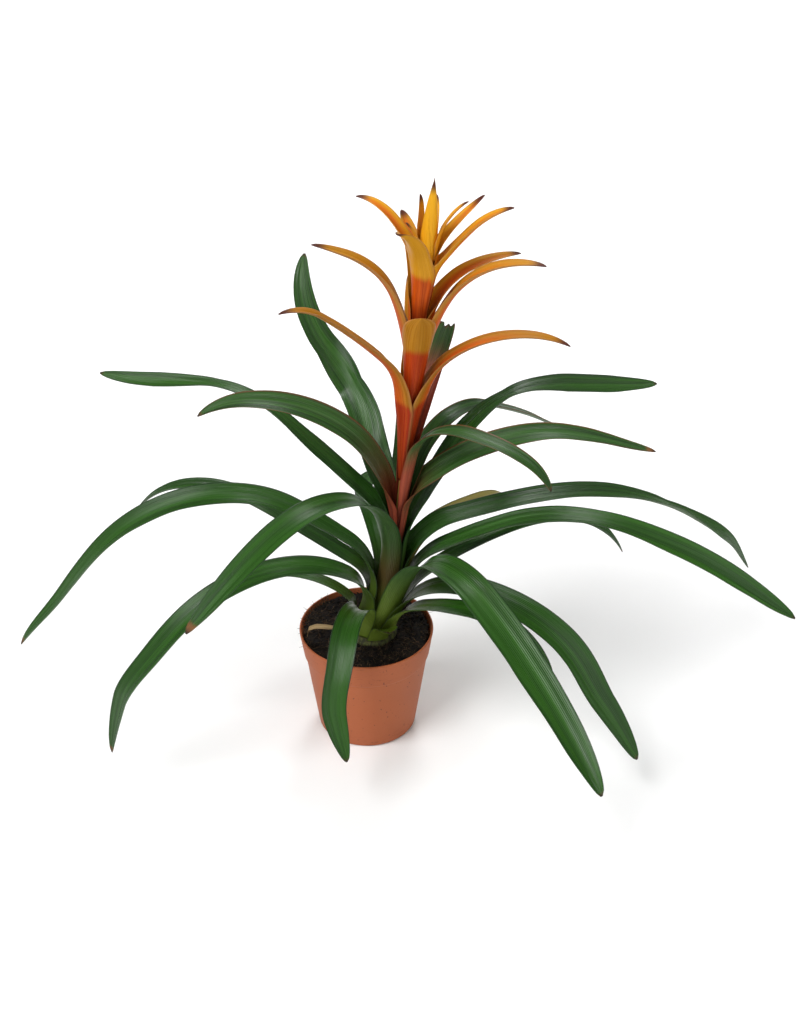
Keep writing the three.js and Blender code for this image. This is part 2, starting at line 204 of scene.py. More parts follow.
# %% The node sheet
class Sheet:
    """A node tree with short ways to add and join nodes."""

    def __init__(self, tree):
        self.tree = tree
        self.column = 0

    def node(self, kind, ins=None, **settings):
        made = self.tree.nodes.new(kind)
        self.column += 1
        made.location = (self.column * 190 % 3800, -(self.column * 190 // 3800) * 320)
        for name, value in settings.items():
            setattr(made, name, value)
        for key, value in (ins or {}).items():
            self.put(made.inputs[key], value)
        return made

    def put(self, target, value):
        """Joins a socket to an input, or sets the input to a value."""
        if isinstance(value, bpy.types.NodeSocket):
            self.tree.links.new(value, target)
        else:
            target.default_value = value

    def calc(self, operation, a, b=0.0, c=0.0, clamp=False):
        ins = {0: a, 1: b}
        if operation == "MULTIPLY_ADD":
            ins[2] = c
        made = self.node("ShaderNodeMath", ins, operation=operation, use_clamp=clamp)
        return made.outputs[0]

    def times(self, a, b):
        return self.calc("MULTIPLY", a, b)

    def step(self, value, low, high):
        ins = {"Value": value, "From Min": low, "From Max": high}
        made = self.node("ShaderNodeMapRange", ins, interpolation_type="SMOOTHSTEP")
        return made.outputs[0]

    def mix(self, factor, a, b):
        """A mix of two colours, each a socket or red, green and blue."""
        made = self.node("ShaderNodeMix", {0: factor}, data_type="RGBA")
        for index, colour in ((6, a), (7, b)):
            self.put(made.inputs[index], (*colour, 1.0) if isinstance(colour, tuple) else colour)
        return made.outputs[2]

    def vector(self, x, y, z):
        return self.node("ShaderNodeCombineXYZ", {0: x, 1: y, 2: z}).outputs[0]

    def split(self, vector):
        return self.node("ShaderNodeSeparateXYZ", {0: vector}).outputs

    def noise(self, vector, scale, detail=2.0, rough=0.5):
        ins = {"Vector": vector, "Scale": scale, "Detail": detail, "Roughness": rough}
        return self.node("ShaderNodeTexNoise", ins).outputs[0]

    def attribute(self, name):
        return self.node("ShaderNodeAttribute", attribute_name=name).outputs["Vector"]

    def place(self):
        return self.node("ShaderNodeTexCoord").outputs["Object"]


def new_material(name, **constants):
    """An empty material with one Principled shader; constants go on its own sockets."""
    made = bpy.data.materials.new(name)
    made.use_nodes = True
    shader = made.node_tree.nodes["Principled BSDF"]
    for key, value in constants.items():
        shader.inputs[key.replace("_", " ")].default_value = value
    return made, Sheet(made.node_tree), shader


def connect(sheet, shader, colour, rough=None, bump=None):
    """Joins a colour to the shader, and a roughness and a bump where they are given.

    A bump is its strength, its depth in metres and the socket of its height.
    """
    sheet.put(shader.inputs["Base Color"], colour)
    if rough:
        sheet.put(shader.inputs["Roughness"], rough)
    if bump:
        ins = dict(zip(("Strength", "Distance", "Height"), bump))
        sheet.put(shader.inputs["Normal"], sheet.node("ShaderNodeBump", ins).outputs[0])


def new_group(name, ins, outs):
    """An empty shader node group with named float or vector sockets."""
    group = bpy.data.node_groups.new(name, "ShaderNodeTree")
    for key, kind in ins.items():
        group.interface.new_socket(key, in_out="INPUT", socket_type=kind)
    for key, kind in outs.items():
        group.interface.new_socket(key, in_out="OUTPUT", socket_type=kind)
    sheet = Sheet(group)
    start = sheet.node("NodeGroupInput")
    end = sheet.node("NodeGroupOutput")
    return group, sheet, start.outputs, end.inputs


FLOAT = "NodeSocketFloat"
VECTOR = "NodeSocketVector"
print("node sheet ready")

# %% [markdown]
# ## What every blade carries
#
# A leaf is coloured along its length, not along the axes of the room, so each blade
# keeps three sets of numbers on its points. The first is the place on the blade:
# how far across (-1 to 1), how far from the foot and how far from the tip, in metres.
# The second is its look: a tone of its own, the distance past the line where the
# foot colour ends, and the distance short of the dried tip. The third holds three
# tints from 0 to 1: yellowing, which on a bract is the warmth of its inner streak, a
# brown-red blush or brown point, and how bright a bract is.

# %% Names of the blade's numbers
PLACE = "blade_place"
LOOK = "blade_look"
TINT = "blade_tint"

# %% [markdown]
# ## Shared patterns: veins, margins and dried tips
#
# The veins of a strap leaf run side by side from foot to tip. Noise that is squeezed
# across the blade and stretched along it draws them: broad bands of lighter green,
# and fine lines in them. Margins are darker, and tips dry to brown. Three groups hold
# these effects, because the leaves, the stem leaves, the bracts and the withered
# strip all use them with their own values.

# %% Vein group
veins_group, sheet, start, end = new_group(
    "veins",
    {"Place": VECTOR, "Tone": FLOAT, "Bands": FLOAT, "Lines": FLOAT},
    {"Broad": FLOAT, "Fine": FLOAT, "Height": FLOAT},
)
share, run, _ = sheet.split(start["Place"])
band_x = sheet.times(share, start["Bands"])
line_x = sheet.times(share, start["Lines"])
drift = sheet.times(start["Tone"], 37.0)
broad = sheet.noise(sheet.vector(band_x, sheet.times(run, 5.0), drift), 1.0, 3.0)
fine = sheet.noise(sheet.vector(line_x, sheet.times(run, 7.0), drift), 1.0, 4.0, 0.6)
ridge = sheet.calc("SINE", sheet.times(line_x, 2.2))
height = sheet.calc("MULTIPLY_ADD", ridge, 0.35, fine)
sheet.put(end["Broad"], sheet.step(broad, 0.32, 0.68))
sheet.put(end["Fine"], sheet.step(fine, 0.35, 0.70))
sheet.put(end["Height"], height)
print("group", veins_group.name)

# %% Margin group
margin_group, sheet, start, end = new_group(
    "margin",
    {"Place": VECTOR, "Inner": FLOAT, "Outer": FLOAT},
    {"Mask": FLOAT},
)
share, run, _ = sheet.split(start["Place"])
wander = sheet.noise(sheet.vector(0.0, run, share), 60.0, 2.0)
far = sheet.calc("MULTIPLY_ADD", wander, 0.04, sheet.calc("ABSOLUTE", share))
reach = sheet.calc("SUBTRACT", start["Outer"], start["Inner"])
mask = sheet.calc("DIVIDE", sheet.calc("SUBTRACT", far, start["Inner"]), reach, clamp=True)
sheet.put(end["Mask"], mask)
print("group", margin_group.name)

# %% Dried tip group
dry_group, sheet, start, end = new_group(
    "dried tip",
    {"Place": VECTOR, "Short of tip": FLOAT, "Tone": FLOAT},
    {"Mask": FLOAT, "Dark": FLOAT},
)
share, _, left = sheet.split(start["Place"])
rag = sheet.noise(sheet.vector(sheet.times(share, 3.0), 0.0, start["Tone"]), 3.0, 3.0)
even = sheet.calc("SUBTRACT", start["Short of tip"], 0.006)
ragged = sheet.calc("MULTIPLY_ADD", rag, 0.012, even)
sheet.put(end["Mask"], sheet.step(ragged, 0.0015, -0.0015))
sheet.put(end["Dark"], sheet.step(left, 0.006, 0.0))
print("group", dry_group.name)


# %% Blade inputs in a material
def blade_inputs(sheet, bands, lines, inner, outer):
    """Adds the shared groups to a blade material and hands back their outputs."""
    place = sheet.attribute(PLACE)
    share, run, _ = sheet.split(place)
    tone, past, short = sheet.split(sheet.attribute(LOOK))
    yellow, blush, bright = sheet.split(sheet.attribute(TINT))
    outs = {}
    for group, ins in (
        (veins_group, {"Place": place, "Tone": tone, "Bands": bands, "Lines": lines}),
        (margin_group, {"Place": place, "Inner": inner, "Outer": outer}),
        (dry_group, {"Place": place, "Short of tip": short, "Tone": tone}),
    ):
        outs[group.name] = sheet.node("ShaderNodeGroup", ins, node_tree=group).outputs
    veins, dry = outs["veins"], outs["dried tip"]
    return {
        "share": share, "run": run, "tone": tone, "past": past,
        "yellow": yellow, "blush": blush, "bright": bright,
        "broad": veins["Broad"], "fine": veins["Fine"], "height": veins["Height"],
        "margin": outs["margin"]["Mask"], "dry": dry["Mask"], "dark": dry["Dark"],
    }


VEIN_DEPTH = 0.0004


def finish_blade(sheet, shader, b, colour, rough, strength):
    """The end of every blade material: dried tip, roughness and the bump of the veins."""
    crisp = sheet.mix(b["dark"], (0.17, 0.075, 0.022), (0.030, 0.014, 0.009))
    colour = sheet.mix(b["dry"], colour, crisp)
    gloss = sheet.calc("MULTIPLY_ADD", b["fine"], 0.10, rough)
    gloss = sheet.calc("MULTIPLY_ADD", b["dry"], 0.35, gloss, clamp=True)
    connect(sheet, shader, colour, gloss, (strength, VEIN_DEPTH, b["height"]))


# %% [markdown]
# ## The green leaf
#
# The upper face is a deep, glossy green with lighter bands; near the foot it fades to
# a yellow-green. The underside is paler, greyer and duller, so a blade has two
# materials: Solidify gives its second face to the second slot.

# %% Leaf materials
def leaf_material(name, deep, pale_band, pale_line, foot, rough, coat):
    """A green leaf: a deep green, its paler bands and lines, and the colour of its foot."""
    made, sheet, shader = new_material(
        name, Coat_Weight=coat, Coat_Roughness=0.22, Specular_IOR_Level=0.32
    )
    b = blade_inputs(sheet, 2.6, 30.0, 0.90, 1.0)
    colour = sheet.mix(b["broad"], deep, pale_band)
    lines = sheet.times(b["fine"], 0.40)
    colour = sheet.mix(lines, colour, pale_line)
    colour = sheet.mix(sheet.times(b["tone"], 0.45), colour, pale_band)
    near_foot = sheet.step(b["run"], 0.085, 0.004)
    colour = sheet.mix(sheet.times(near_foot, 0.85), colour, foot)
    colour = sheet.mix(b["yellow"], colour, (0.30, 0.235, 0.055))
    colour = sheet.mix(b["blush"], colour, (0.080, 0.028, 0.014))
    edge = sheet.times(b["margin"], 0.75)
    colour = sheet.mix(edge, colour, (0.010, 0.026, 0.010))
    finish_blade(sheet, shader, b, colour, rough, 0.5)
    return made


leaf_upper = leaf_material(
    "leaf_upper", (0.0040, 0.022, 0.0020), (0.019, 0.080, 0.0050), (0.044, 0.135, 0.016),
    (0.090, 0.135, 0.008), 0.27, 0.05,
)
leaf_under = leaf_material(
    "leaf_under", (0.018, 0.055, 0.010), (0.042, 0.105, 0.020), (0.080, 0.155, 0.046),
    (0.135, 0.190, 0.018), 0.40, 0.0,
)
print("leaf materials:", leaf_upper.name, leaf_under.name)

# %% [markdown]
# ## Stem leaves and bracts
#
# On the flower stem the foot of each leaf is red. Past a line it turns green on the
# lower leaves and golden on the bracts. The line is sharp and bows a little towards
# the tip in the middle of the blade. Bracts are waxy, and duller than leaves.

# %% Foot colour line
def past_line(sheet, b, bow, soft):
    """0 on the foot side of the colour line and 1 beyond it."""
    squared = sheet.times(b["share"], b["share"])
    bowed = sheet.calc("MULTIPLY_ADD", squared, bow, b["past"])
    wobble = sheet.calc("MULTIPLY_ADD", b["broad"], 0.004, bowed)
    return sheet.step(wobble, -soft, soft)


def stem_leaf_material(name, deep_red, red, deep, pale_band, rough, coat):
    """A leaf with a red foot in two reds and a green blade in two greens."""
    made, sheet, shader = new_material(
        name, Coat_Weight=coat, Coat_Roughness=0.22, Specular_IOR_Level=0.18
    )
    b = blade_inputs(sheet, 2.4, 26.0, 0.88, 1.0)
    foot = sheet.mix(b["broad"], deep_red, red)
    foot = sheet.mix(sheet.step(b["run"], 0.040, 0.0), foot, deep_red)
    foot = sheet.mix(sheet.times(b["fine"], 0.25), foot, (0.42, 0.13, 0.07))
    blade = sheet.mix(b["broad"], deep, pale_band)
    blade = sheet.mix(sheet.times(b["fine"], 0.40), blade, (0.085, 0.165, 0.060))
    line = past_line(sheet, b, 0.006, 0.020)
    colour = sheet.mix(line, foot, blade)
    colour = sheet.mix(sheet.times(b["blush"], 0.75), colour, (0.120, 0.045, 0.022))
    edge_colour = sheet.mix(line, (0.25, 0.040, 0.020), (0.150, 0.030, 0.014))
    edge = sheet.times(b["margin"], 0.7)
    colour = sheet.mix(edge, colour, edge_colour)
    finish_blade(sheet, shader, b, colour, rough, 0.5)
    return made


stem_leaf_upper = stem_leaf_material(
    "stem_leaf_upper", (0.090, 0.014, 0.006), (0.300, 0.040, 0.014),
    (0.006, 0.026, 0.003), (0.022, 0.080, 0.008), 0.28, 0.05,
)
stem_leaf_under = stem_leaf_material(
    "stem_leaf_under", (0.110, 0.018, 0.014), (0.360, 0.070, 0.034),
    (0.022, 0.060, 0.013), (0.048, 0.108, 0.026), 0.40, 0.0,
)
print("stem leaf materials ready")


# %% Bract materials
def bract_material(name, deep_red, red, ocher, gold, rim, rough):
    """A bract: a red foot, and a blade from ocher low on the stem to gold at the top."""
    made, sheet, shader = new_material(
        name, Coat_Weight=0.02, Coat_Roughness=0.30, Specular_IOR_Level=0.12
    )
    b = blade_inputs(sheet, 2.2, 22.0, 0.80, 1.0)
    bright_red = sheet.mix(b["bright"], red, (0.760, 0.125, 0.004))
    foot = sheet.mix(sheet.times(b["broad"], 0.8), bright_red, deep_red)
    foot = sheet.mix(sheet.step(b["run"], 0.034, 0.0), foot, deep_red)
    foot = sheet.mix(sheet.times(b["fine"], 0.22), foot, (0.66, 0.17, 0.03))
    blade = sheet.mix(b["bright"], ocher, gold)
    blade = sheet.mix(sheet.times(b["fine"], 0.30), blade, (0.64, 0.34, 0.05))
    middle = sheet.step(sheet.calc("ABSOLUTE", b["share"]), 0.85, 0.20)
    warm = sheet.times(sheet.step(b["past"], 0.115, 0.040), middle)
    warm = sheet.times(warm, b["yellow"])
    blade = sheet.mix(warm, blade, (0.560, 0.075, 0.008))
    olive = sheet.times(sheet.calc("SUBTRACT", 1.0, b["fine"]), b["broad"])
    blade = sheet.mix(sheet.times(olive, 0.30), blade, (0.250, 0.115, 0.006))
    line = past_line(sheet, b, 0.008, 0.004)
    colour = sheet.mix(line, foot, blade)
    colour = sheet.mix(sheet.times(b["margin"], 0.55), colour, rim)
    tip = sheet.times(b["blush"], 0.95)
    colour = sheet.mix(tip, colour, (0.065, 0.014, 0.014))
    finish_blade(sheet, shader, b, colour, rough, 0.45)
    return made


bract_upper = bract_material(
    "bract_upper", (0.170, 0.009, 0.002), (0.380, 0.024, 0.002),
    (0.330, 0.125, 0.003), (0.800, 0.390, 0.010), (0.420, 0.175, 0.055), 0.38,
)
bract_under = bract_material(
    "bract_under", (0.150, 0.008, 0.002), (0.350, 0.022, 0.002),
    (0.300, 0.110, 0.003), (0.760, 0.350, 0.010), (0.440, 0.190, 0.065), 0.42,
)
print("bract materials ready")

# %% [markdown]
# ## One blade, modelled once
#
# A leaf starts as a flat strap: a grid with enough rows to bend and enough columns
# for its pleats. It is modelled once and copied. A Curve modifier could bend each
# copy, but it can't wrap the sheath round the neighbours inside it, nor turn a blade
# over part way out, so each copy's rows are laid along the leaf's own arch instead.
# Solidify then gives the blade its thickness, thin at the margins.

# %% The flat strap
def flat_strap(name, columns, rows):
    """A flat grid, one unit wide and one unit long, with its foot at y = 0."""
    bpy.ops.object.select_all(action="DESELECT")
    bpy.ops.mesh.primitive_grid_add(x_subdivisions=columns, y_subdivisions=rows, size=1.0)
    strap = bpy.context.object
    strap.name = name
    edit_all(lambda: bpy.ops.transform.translate(value=(0.0, 0.5, 0.0)))
    return strap


LEAF_ROWS = 96
BRACT_ROWS = 64
leaf_strap = flat_strap("leaf_strap", 24, LEAF_ROWS)
bract_strap = flat_strap("bract_strap", 20, BRACT_ROWS)
print("strap points:", len(leaf_strap.data.vertices), len(bract_strap.data.vertices))

# %% [markdown]
# ## Where the leaves stand
#
# The leaves are listed from the outermost to the innermost. turn is the compass angle
# of a leaf, sheath its clasping stretch, climb its slope at even steps along the rest,
# swing the change of its turn and roll the tilt of its upper face to its left. On the
# flower stem, foot is the height above the soil, line how far the foot colour reaches
# and point how long the brown point of a bract is. Each leaf stands as close to the
# axis as the sheaths inside it allow.

# %% Sizes of the plant, in millimetres
SOIL_HEIGHT = 96.0
MOUND_HEIGHT = 98.5
ROOTSTOCK_RISE = 23.0
ROOTSTOCK_TIP_RADIUS = 7.0
SEAT_GAP = 0.3
BLADE_THICK = 0.8
RING_STEP = 1.15
CLASP_LIMIT = 1.35
LEAF_CHANNEL = 0.55
TIP_SHARE = 0.06
LEAF_BLUNTNESS = 7
BRACT_BLUNTNESS = 4
BRACT_CHANNEL = 0.8
STEM_RADIUS = 3.2
STEM_TOP_RADIUS = 2.4
STEM_FOOT = MOUND_HEIGHT + ROOTSTOCK_RISE + SEAT_GAP
STEM_TOP = SOIL_HEIGHT + 336.0
BUD_FOOT = STEM_TOP + SEAT_GAP
BUD_LENGTH = 98.0
BUD_RADIUS = 7.8


# %% Leaves and bracts, outermost first
def leaf_of(turn, length, width, sheath, climb, **more):
    """A leaf of the rosette."""
    return dict(turn=turn, length=length, width=width, sheath=sheath, climb=climb, **more)


def stem_leaf_of(foot, turn, length, width, sheath, climb, line, **more):
    """A leaf on the flower stem."""
    return leaf_of(turn, length, width, sheath, climb, foot=foot, line=line, **more)


def bract_of(foot, turn, length, width, sheath, climb, line, point, **more):
    """A bract."""
    return stem_leaf_of(foot, turn, length, width, sheath, climb, line, point=point, **more)


ROSETTE = [
    leaf_of(-78, 30, 20, 6, [55, 20, 5], tip=0.55, tone=0.9, end="round"),
    leaf_of(-45, 212, 25, 8, [32, 22, 14, -8, -30, -45], tone=0.4),
    leaf_of(168, 128, 14, 8, [35, 20, 8, -12, -45], tone=0.3),
    leaf_of(222, 198, 25, 8, [38, -5, -38, -55, -55, -55], swing=[0, 48, 82], tone=1.0),
    leaf_of(-27, 322, 31, 14, [28, -2, -18, -32, -44, -54, -56],
            roll=[0, 0, -5, -10, -15, -20, -20], tone=0.5),
    leaf_of(202, 370, 28, 18, [38, 15, -10, -36, -62, -72, -80], roll=[0, 5, 5, 5, 10, 10, 10],
            dry=5, tone=0.35),
    leaf_of(3, 256, 21, 20, [42, 30, 24, 2, -34, -60], dry=4, tone=0.6),
    leaf_of(160, 304, 21, 28, [24, 24, 24, 14, -8, -34, -64], tone=0.2),
    leaf_of(-57, 370, 34, 24, [56, 10, -15, -21, -25, -25, -22], tone=0.7),
    leaf_of(182, 452, 26, 35, [38, 32, 2, -25, -50, -62, -65], roll=[0, 0, 10, 15, 15, 15, 15],
            dry=5, tone=0.55),
    leaf_of(116, 175, 19, 34, [52, 30, 4, -8, -12], swing=[0, -5, -65], tone=0.8, end="round"),
    leaf_of(-13, 425, 27, 36, [34, 28, 5, -15, -22, -30, -30], roll=[0, 0, 0, 5, -10, -20, -25],
            tone=0.45),
    leaf_of(50, 208, 20, 42, [20, -4, -12, -12, -24], yellow=0.8, dry=3, tone=0.6, end="round"),
    leaf_of(15, 472, 27, 54, [8, 4, -8, -22, -34, -37, -54], roll=[0, 0, 0, 0, 15, -15, -25],
            tone=0.3),
    leaf_of(224, 354, 30, 66, [60, 28, 4, -20, -30, -32], dry=9, blush=(48, 26, 0.75), tone=0.65),
    leaf_of(86, 330, 22, 52, [60, 35, 10, -10, -25, -38], tone=0.5),
    leaf_of(161, 400, 24, 78, [38, 36, 38, 20, -8, -5, 5], roll=[0, 0, 0, -15, -15, 20, 30],
            tone=0.5),
    leaf_of(25, 386, 26, 70, [60, 60, 35, -5, -15, -14, -10], roll=[0, 0, 0, 20, -15, -25, -25],
            tone=0.55),
    leaf_of(140, 354, 28, 90, [46, 34, 32, 36, 46, 50, 52], swing=[0, -38, 12, -64],
            roll=[0, 0, 0, 24, 64, 34, 8, 0, 0], dry=2, tone=0.25),
]

STEM_LEAVES = [
    stem_leaf_of(74, 185, 285, 27, 42, [72, 55, 35, 20, 2, -35], 92, roll=[0, 24, 26, 22, 12, 5],
                 blush=(104, 26, 0.45), dry=3, tone=0.5),
    stem_leaf_of(87, 0, 283, 24, 46, [42, 27, 12, -8, -16, -12], 62, roll=[0, -24, -22, -10, 0, 0],
                 blush=(62, 22, 0.6), dry=8, tone=0.35),
    stem_leaf_of(94, 44, 320, 20, 37, [64, 5, -28, -31, -35, -40], 10, tone=0.4),
    stem_leaf_of(109, -34, 232, 20, 52, [82, 32, 2, -6, -20, -55], 84, dry=3, tone=0.6),
    stem_leaf_of(124, 66, 175, 24, 58, [60, 44, 42], 147, tip=0.62, end="torn", tone=0.9),
]

BRACTS = [
    bract_of(163, 205, 242, 30, 50, [80, 46, 42, 38, -4], 82, 11),
    bract_of(178, -8, 208, 29, 42, [78, 42, 20, 0, -24], 66, 11),
    bract_of(200, 95, 150, 27, 40, [70, 50, 30, 12], 60, 10),
    bract_of(218, 268, 112, 34, 62, [76, 58], 74, 0, blade_share=1.0, blunt=9, yellow=0.0,
             end="round"),
    bract_of(225, 185, 198, 32, 56, [75, 65, 42, 24, 18], 58, 11),
    bract_of(239, -16, 184, 31, 38, [76, 64, 40, 15, -5], 56, 10),
    bract_of(266, 18, 142, 29, 32, [76, 50, 22, 8, -2], 46, 8),
    bract_of(281, 110, 124, 27, 34, [70, 55, 38, 22], 44, 8),
    bract_of(308, 240, 122, 33, 36, [74, 52, 38, 26], 50, 7, yellow=0.0),
    bract_of(323, -12, 115, 27, 26, [60, 55, 50, 35, 20], 28, 8),
    bract_of(332, 158, 105, 24, 22, [64, 54, 44, 26, 0], 26, 9),
    bract_of(341, 82, 76, 20, 22, [64, 48, 36, 26], 22, 8),
    bract_of(349, 24, 78, 18, 18, [54, 44, 40, 42], 16, 11),
    bract_of(357, 196, 46, 16, 18, [74, 60, 44], 4, 5),
    bract_of(367, -10, 56, 14, 18, [68, 60, 50, 36], 2, 6),
    bract_of(376, 140, 42, 13, 22, [86, 84, 80], 0, 6),
]
print("blades:", len(ROSETTE), len(STEM_LEAVES), len(BRACTS))


# %% How close each blade stands to the axis
def axis_radius(height):
    """Radius of the flower stem, and of the bud above it."""
    if height >= BUD_FOOT:
        return bud_radius((height - BUD_FOOT) / BUD_LENGTH)
    return lerp(STEM_RADIUS, STEM_TOP_RADIUS, (height - STEM_FOOT) / (STEM_TOP - STEM_FOOT))


def bud_radius(share):
    """Radius of the bud at a share of its length: it swells, then closes to a point."""
    t = min(max(share, 0.0), 1.0)
    swell = lerp(STEM_TOP_RADIUS, BUD_RADIUS, smooth(t, 0.0, 0.45))
    return max(swell * (1.0 - t ** 3), 0.3)


def nested(leaves, seat_radius):
    """Gives each leaf its foot radius, from the innermost leaf outwards."""
    placed = []
    for leaf in reversed(leaves):
        spread = math.tan(math.radians(90 - leaf.get("opening", 90)))
        radius = seat_radius(leaf.get("foot", 0))
        for inner in placed:
            rise = inner.get("foot", 0) - leaf.get("foot", 0)
            clear = inner["radius"] + RING_STEP - spread * rise
            apart = abs((leaf["turn"] - inner["turn"] + 900) % 360 - 180)
            own = min(leaf["width"] / 2 / clear, CLASP_LIMIT)
            other = min(inner["width"] / 2 / inner["radius"], CLASP_LIMIT)
            if math.radians(apart) < own + other + 0.1:
                radius = max(radius, clear)
        placed.append(dict(leaf, radius=radius))
    return placed[::-1]


rosette = nested(ROSETTE, lambda foot: ROOTSTOCK_TIP_RADIUS + RING_STEP)
crown_radius = max(leaf["radius"] for leaf in rosette) + RING_STEP
for leaf in rosette:
    inside = leaf["radius"] - BLADE_THICK / 2 - 3 * SEAT_GAP
    part = (inside - ROOTSTOCK_TIP_RADIUS) / (crown_radius - ROOTSTOCK_TIP_RADIUS)
    leaf["height"] = MOUND_HEIGHT + ROOTSTOCK_RISE * (1 - part)

on_stem = nested(
    [dict(leaf, opening=86) for leaf in STEM_LEAVES] + [dict(leaf, opening=84) for leaf in BRACTS],
    lambda foot: axis_radius(SOIL_HEIGHT + foot) + SEAT_GAP + BLADE_THICK / 2,
)
for leaf in on_stem:
    leaf["height"] = SOIL_HEIGHT + leaf["foot"]
stem_leaves = on_stem[:len(STEM_LEAVES)]
bracts = on_stem[len(STEM_LEAVES):]
print("crown radius", round(crown_radius, 2), "mm")

# %% [markdown]
# ## Laying a strap along its arch
#
# A row of the strap is an arc. In the sheath it hugs the axis; further out it opens
# to a shallow channel. The rows step along the arch in short strides. Small shapes
# that make a leaf a leaf come on top: pleats along the veins, margins that wave a
# little, a keel in the bracts, and an end that is pointed, rounded or torn.

# %% The arch of a leaf
def lean(z):
    """How far the plant has leaned to the right at a height, in millimetres."""
    h = max(z - SOIL_HEIGHT, 0.0)
    return 5.0 + 0.09 * h + 12.5 * (1.0 - math.exp(-((h / 38.0) ** 2)))


def along(values, t):
    """The value at share t of a list of evenly spaced values."""
    place = min(max(t, 0.0), 1.0) * (len(values) - 1)
    before = min(int(place), len(values) - 1)
    after = min(before + 1, len(values) - 1)
    return lerp(values[before], values[after], place - before)


def frame_at(leaf, distance):
    """Directions ahead, across and towards the upper face at a distance."""
    t = (distance - leaf["sheath"]) / (leaf["length"] - leaf["sheath"])
    slope = math.radians(along([leaf.get("opening", 90)] + leaf["climb"], t))
    heading = math.radians(leaf["turn"] + along(leaf.get("swing", [0]), t))
    tilt = math.radians(along(leaf.get("roll", [0]), t))
    flat = Vector((math.cos(heading), math.sin(heading), 0.0))
    ahead = flat * math.cos(slope) + Vector((0.0, 0.0, math.sin(slope)))
    side = Vector((-math.sin(heading), math.cos(heading), 0.0))
    upper = flat * -math.sin(slope) + Vector((0.0, 0.0, math.cos(slope)))
    turned_side = side * math.cos(tilt) - upper * math.sin(tilt)
    turned_upper = upper * math.cos(tilt) + side * math.sin(tilt)
    return ahead, turned_side, turned_upper


def width_share(t, foot_share, blade_share, tip_share, blunt):
    """Width at share t of the length: narrow foot, full sheath, narrower blade, tip."""
    foot = lerp(foot_share, 1.0, smooth(t, 0.0, 0.3))
    blade = lerp(1.0, blade_share, smooth(t, 0.25, 0.6))
    taper = max(1.0 - t ** blunt, 0.0) ** 0.65
    return foot * blade * lerp(tip_share, 1.0, taper)


def end_shape(leaf, t, share):
    """(share of the width, share of the length) that a round or a torn end keeps."""
    kind = leaf.get("end")
    if kind == "round":
        rounding = leaf["width"] * 0.4 / leaf["length"]
        u = max((t - 1.0 + rounding) / rounding, 0.0)
        return max(math.sqrt(max(1.0 - u * u, 0.0)), 0.05), 1.0
    if kind == "torn":
        tear = noise.noise(Vector((share * 2.3, 4.1, 0.7))) * 0.035 + 0.01 * share
        return 1.0, 1.0 + min(tear, 0.0) * smooth(t, 0.7, 1.0)
    return 1.0, 1.0


# %% Bending one copy
STRIDE_MM = 1.5
FREE_STRETCH = 40.0
PLEAT_HEIGHT = 0.16
WAVE_LENGTH = 34.0
NARROW_HALF = 6.0
THIN_EDGE = 0.05


def arch_rows(leaf, rows):
    """Centre and directions at each row of the strap, foot to tip."""
    radius, turn = leaf["radius"], math.radians(leaf["turn"])
    centre = Vector((radius * math.cos(turn), radius * math.sin(turn), leaf["height"]))
    made = []
    distance = 0.0
    for row in range(rows + 1):
        target = leaf["length"] * row / rows
        strides = max(int((target - distance) / STRIDE_MM), 1)
        stride = (target - distance) / strides
        for i in range(strides):
            centre = centre + frame_at(leaf, distance + (i + 0.5) * stride)[0] * stride
        distance = target
        made.append((distance, centre.copy(), frame_at(leaf, distance)))
    return made


def write_numbers(mesh, numbers):
    """Stores the three sets of numbers, one triple each for every point."""
    for name, triples in numbers.items():
        made = mesh.attributes.new(name, "FLOAT_VECTOR", "POINT")
        made.data.foreach_set("vector", [value for triple in triples for value in triple])


